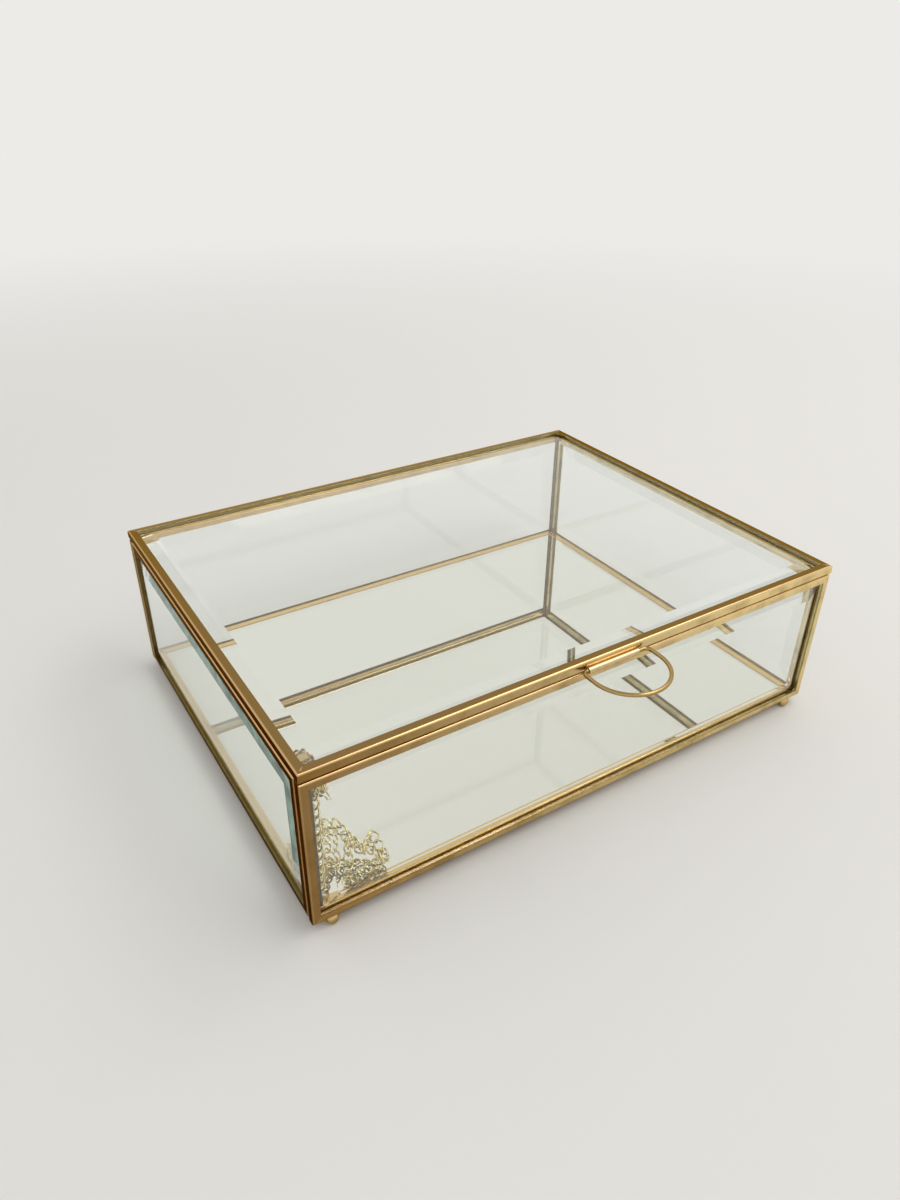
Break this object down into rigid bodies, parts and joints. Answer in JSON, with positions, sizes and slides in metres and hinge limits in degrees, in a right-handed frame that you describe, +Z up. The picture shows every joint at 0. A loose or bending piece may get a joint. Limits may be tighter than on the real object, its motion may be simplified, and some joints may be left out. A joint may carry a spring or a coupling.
{
  "type": "glass casket box",
  "caption": "Low glass casket box: bevelled panes in folded brass channels, mirror base, ball feet, rear-hinged lid with a check chain and a swinging wire loop handle.",
  "frame": {"origin": "centre of the outer box's footprint, loop and hinges included, on the surface that the feet stand on", "axes": "+X to the right along the front, +Y from the front with the handle to the hinges at the rear, +Z up"},
  "size_m": [0.22, 0.1921, 0.0654],
  "materials": {
    "clear_glass": "polished",
    "mirror_glass": "polished",
    "brass_channel": "satin, aged",
    "bright_brass": "polished",
    "chain_wire": "polished",
    "solder": "satin"
  },
  "bodies": {
    "case": {"base_mirror": "mirror_glass", "base_rail_front": "brass_channel", "base_rail_right": "brass_channel", "base_rail_rear": "brass_channel", "base_rail_left": "brass_channel", "front_pane": "clear_glass", "front_rail_bottom": "brass_channel", "front_rail_top": "brass_channel", "front_stile_left": "brass_channel", "front_stile_right": "brass_channel", "right_pane": "clear_glass", "right_rail_bottom": "brass_channel", "right_rail_top": "brass_channel", "right_stile_front": "brass_channel", "right_stile_rear": "brass_channel", "rear_pane": "clear_glass", "rear_rail_bottom": "brass_channel", "rear_rail_top": "brass_channel", "rear_stile_right": "brass_channel", "rear_stile_left": "brass_channel", "left_pane": "clear_glass", "left_rail_bottom": "brass_channel", "left_rail_top": "brass_channel", "left_stile_rear": "brass_channel", "left_stile_front": "brass_channel", "corner_solder": "solder", "ball_feet": "bright_brass", "case_chain_eye": "chain_wire", "left_hinge_case_leaf": "brass_channel", "left_hinge_pin": "brass_channel", "right_hinge_case_leaf": "brass_channel", "right_hinge_pin": "brass_channel"},
    "lid": {"lid_pane": "clear_glass", "lid_rail_front": "brass_channel", "lid_rail_right": "brass_channel", "lid_rail_rear": "brass_channel", "lid_rail_left": "brass_channel", "lid_solder": "solder", "handle_tab": "bright_brass", "lid_chain_eye": "chain_wire", "left_hinge_lid_leaf": "brass_channel", "right_hinge_lid_leaf": "brass_channel"},
    "handle": {"handle_loop": "bright_brass"},
    "chain_01": {"chain_run_01": "chain_wire"},
    "chain_02": {"chain_run_02": "chain_wire"},
    "chain_03": {"chain_run_03": "chain_wire"},
    "chain_04": {"chain_run_04": "chain_wire"},
    "chain_05": {"chain_run_05": "chain_wire"},
    "chain_06": {"chain_run_06": "chain_wire"},
    "chain_07": {"chain_run_07": "chain_wire"},
    "chain_08": {"chain_run_08": "chain_wire"},
    "chain_09": {"chain_run_09": "chain_wire"},
    "chain_10": {"chain_run_10": "chain_wire"},
    "chain_11": {"chain_run_11": "chain_wire"},
    "chain_12": {"chain_run_12": "chain_wire"},
    "chain_13": {"chain_run_13": "chain_wire"},
    "chain_14": {"chain_run_14": "chain_wire"}
  },
  "joints": [
    {"name": "lid_hinge", "type": "hinge", "parent": "case", "child": "lid", "pos_m": [-0.11, 0.09475, 0.06128], "axis": [-1, 0, 0], "range_deg": [0, 96.34]},
    {"name": "handle_swing", "type": "hinge", "parent": "lid", "child": "handle", "pos_m": [0.001, -0.07585, 0.06257], "axis": [1, 0, 0], "range_deg": [-96, 90]},
    {"name": "chain_fold_01", "type": "hinge", "parent": "case", "child": "chain_01", "pos_m": [-0.1037, -0.06875, 0.057], "axis": [0.9999, -0.0074, 0.0086], "range_deg": [0, 131.7], "deforming": ["chain_run_01"]},
    {"name": "chain_fold_02", "type": "hinge", "parent": "chain_01", "child": "chain_02", "pos_m": [-0.10331, -0.06807, 0.01201], "axis": [0.7065, -0.7077, -0.0045], "range_deg": [-78.04, 0], "deforming": ["chain_run_02"]},
    {"name": "chain_fold_03", "type": "hinge", "parent": "chain_02", "child": "chain_03", "pos_m": [-0.09394, -0.0587, 0.00943], "axis": [-0.0986, -0.1709, -0.9803], "range_deg": [-75.29, 0], "deforming": ["chain_run_03"]},
    {"name": "chain_fold_04", "type": "hinge", "parent": "chain_03", "child": "chain_04", "pos_m": [-0.08224, -0.06545, 0.00943], "axis": [0, 0, -1], "range_deg": [-142.01, 0], "deforming": ["chain_run_04"]},
    {"name": "chain_fold_05", "type": "hinge", "parent": "chain_04", "child": "chain_05", "pos_m": [-0.09561, -0.06733, 0.00943], "axis": [-0.0838, 0.596, -0.7986], "range_deg": [-123.84, 0], "deforming": ["chain_run_05"]},
    {"name": "chain_fold_06", "type": "hinge", "parent": "chain_05", "child": "chain_06", "pos_m": [-0.08942, -0.05741, 0.01618], "axis": [0.12, 0.5064, -0.8539], "range_deg": [-115, 0], "deforming": ["chain_run_06"]},
    {"name": "chain_fold_07", "type": "hinge", "parent": "chain_06", "child": "chain_07", "pos_m": [-0.08126, -0.06713, 0.01156], "axis": [-0.1265, -0.5103, 0.8506], "range_deg": [-148.61, 0], "deforming": ["chain_run_07"]},
    {"name": "chain_fold_08", "type": "hinge", "parent": "chain_07", "child": "chain_08", "pos_m": [-0.08221, -0.0594, 0.01606], "axis": [0.5673, -0.3609, 0.7402], "range_deg": [-113.95, 0], "deforming": ["chain_run_08"]},
    {"name": "chain_fold_09", "type": "hinge", "parent": "chain_08", "child": "chain_09", "pos_m": [-0.08855, -0.06551, 0.01793], "axis": [-0.5994, 0.4104, -0.6872], "range_deg": [-81.41, 0], "deforming": ["chain_run_09"]},
    {"name": "chain_fold_10", "type": "hinge", "parent": "chain_09", "child": "chain_10", "pos_m": [-0.09506, -0.05876, 0.02765], "axis": [0.141, -0.7662, 0.6269], "range_deg": [-132.59, 0], "deforming": ["chain_run_10"]},
    {"name": "chain_fold_11", "type": "hinge", "parent": "chain_10", "child": "chain_11", "pos_m": [-0.09925, -0.06734, 0.0181], "axis": [0.873, 0.1043, -0.4764], "range_deg": [-84.52, 0], "deforming": ["chain_run_11"]},
    {"name": "chain_fold_12", "type": "hinge", "parent": "chain_11", "child": "chain_12", "pos_m": [-0.10471, -0.05789, 0.01017], "axis": [0.7121, -0.1619, -0.6831], "range_deg": [-49.49, 0], "deforming": ["chain_run_12"]},
    {"name": "chain_fold_13", "type": "hinge", "parent": "chain_12", "child": "chain_13", "pos_m": [-0.10237, -0.04461, 0.00946], "axis": [0.7879, -0.1704, -0.5918], "range_deg": [-139.28, 0], "deforming": ["chain_run_13"]},
    {"name": "chain_fold_14", "type": "hinge", "parent": "chain_13", "child": "chain_14", "pos_m": [-0.09779, -0.05874, 0.01962], "axis": [-0.8736, -0.4368, -0.2143], "range_deg": [-49.25, 0], "deforming": ["chain_run_14"]}
  ],
  "couplings": [
    {"joint": "chain_fold_01", "follows": "lid_hinge", "ratio": 1.367},
    {"joint": "chain_fold_02", "follows": "lid_hinge", "ratio": -0.80999},
    {"joint": "chain_fold_03", "follows": "lid_hinge", "ratio": -0.78142},
    {"joint": "chain_fold_04", "follows": "lid_hinge", "ratio": -1.4739},
    {"joint": "chain_fold_05", "follows": "lid_hinge", "ratio": -1.2853},
    {"joint": "chain_fold_06", "follows": "lid_hinge", "ratio": -1.1936},
    {"joint": "chain_fold_07", "follows": "lid_hinge", "ratio": -1.5424},
    {"joint": "chain_fold_08", "follows": "lid_hinge", "ratio": -1.1827},
    {"joint": "chain_fold_09", "follows": "lid_hinge", "ratio": -0.84491},
    {"joint": "chain_fold_10", "follows": "lid_hinge", "ratio": -1.3762},
    {"joint": "chain_fold_11", "follows": "lid_hinge", "ratio": -0.87717},
    {"joint": "chain_fold_12", "follows": "lid_hinge", "ratio": -0.51364},
    {"joint": "chain_fold_13", "follows": "lid_hinge", "ratio": -1.4456},
    {"joint": "chain_fold_14", "follows": "lid_hinge", "ratio": -0.51112}
  ]
}
